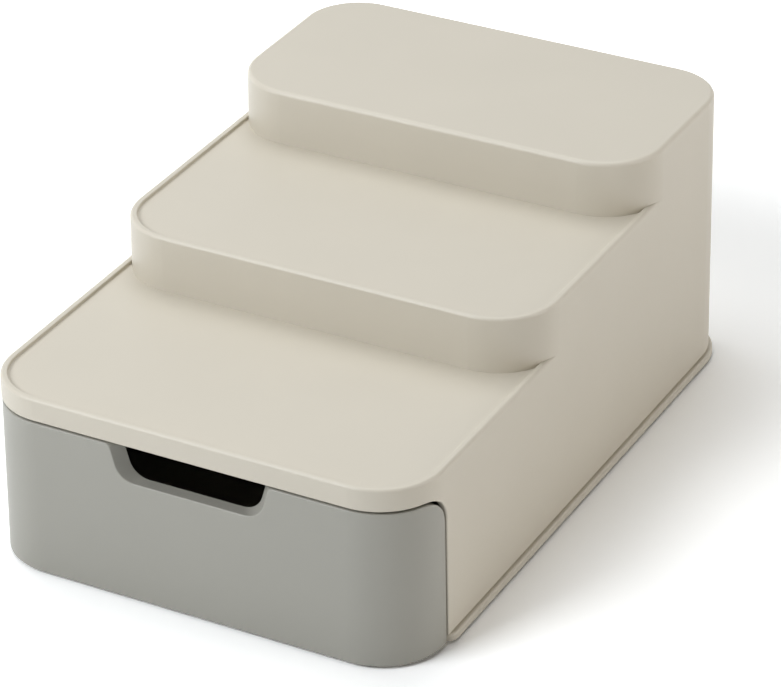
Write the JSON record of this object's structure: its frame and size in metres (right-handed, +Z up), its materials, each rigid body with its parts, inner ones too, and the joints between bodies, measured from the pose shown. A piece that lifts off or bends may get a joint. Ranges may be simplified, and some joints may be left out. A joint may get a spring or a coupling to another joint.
{
  "type": "tiered condiment caddy with drawer",
  "caption": "Stepped countertop caddy with three open treads over a wrap-around sliding drawer with a finger cut-out.",
  "frame": {"origin": "centre of the footprint, on the surface that the feet stand on", "axes": "+X to the right as seen from the drawer, +Y from the drawer front to the back, +Z up"},
  "size_m": [0.2036, 0.3076, 0.13],
  "materials": {
    "stone_plastic": "fine-textured moulded polypropylene, warm stone",
    "grey_plastic": "fine-textured moulded polypropylene, warm grey",
    "foot_rubber": "soft matte thermoplastic rubber",
    "screw_steel": "zinc-plated steel"
  },
  "bodies": {
    "body": {"tiered_housing": "stone_plastic", "base_plate": "stone_plastic", "foot_front_left": "foot_rubber", "foot_front_right": "foot_rubber", "foot_rear_left": "foot_rubber", "foot_rear_right": "foot_rubber", "base_screws": "screw_steel"},
    "drawer": {"drawer_front": "grey_plastic", "drawer_tray": "grey_plastic", "front_screws": "screw_steel"}
  },
  "joints": [
    {"name": "drawer_slide", "type": "slide", "parent": "body", "child": "drawer", "axis": [0, -1, 0], "range_m": [0, 0.2]}
  ]
}
